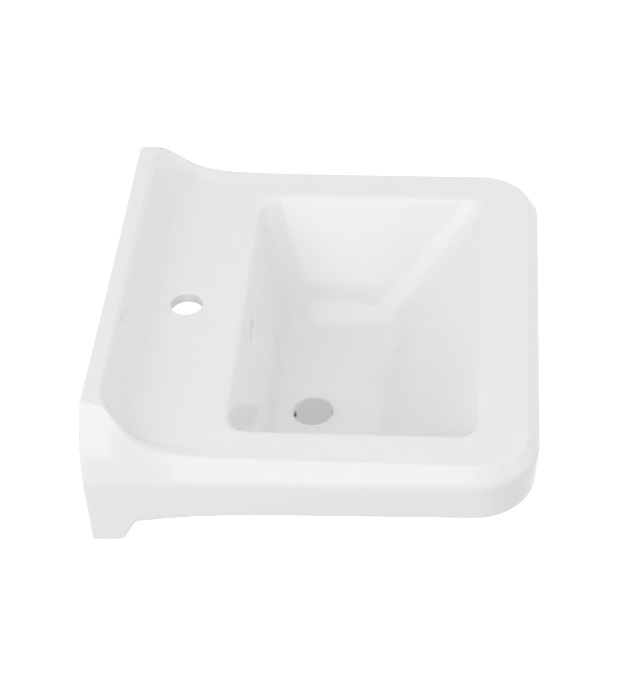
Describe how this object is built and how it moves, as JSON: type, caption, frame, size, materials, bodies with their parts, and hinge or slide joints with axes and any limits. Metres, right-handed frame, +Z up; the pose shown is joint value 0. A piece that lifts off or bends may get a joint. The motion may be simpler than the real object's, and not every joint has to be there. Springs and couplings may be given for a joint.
{
  "type": "wall-hung washbasin",
  "caption": "Rectangular wall-hung washbasin in white glazed china, with a raised wall edge, tap hole, overflow and plug hole, hung on a concealed steel hanger.",
  "frame": {"origin": "on the wall plane, in the middle of the basin's width, at the height of the rim near its front edge", "axes": "+Z up, +Y into the wall, -Y towards the user, X across the basin"},
  "size_m": [0.5158, 0.4876, 0.2578],
  "materials": {
    "china": "glossy white glaze, matt and unglazed on the wall face",
    "hanger_steel": "dull zinc plate",
    "screw_steel": "bright zinc plate",
    "washer_rubber": "matt black"
  },
  "bodies": {
    "hanger": {"wall_hanger": "hanger_steel", "hanger_screw_1": "screw_steel", "hanger_screw_2": "screw_steel", "hanger_screw_3": "screw_steel", "hanger_washer_1": "screw_steel", "hanger_washer_2": "screw_steel", "hanger_washer_3": "screw_steel"},
    "basin": {"basin": "china", "anchor_screw_left": "screw_steel", "anchor_screw_right": "screw_steel", "anchor_washer_left": "screw_steel", "anchor_washer_right": "screw_steel", "rubber_washer_left": "washer_rubber", "rubber_washer_right": "washer_rubber"}
  },
  "joints": [
    {"name": "basin_lift", "type": "slide", "parent": "hanger", "child": "basin", "axis": [0, 0, 1], "range_m": [0, 0.022]}
  ]
}
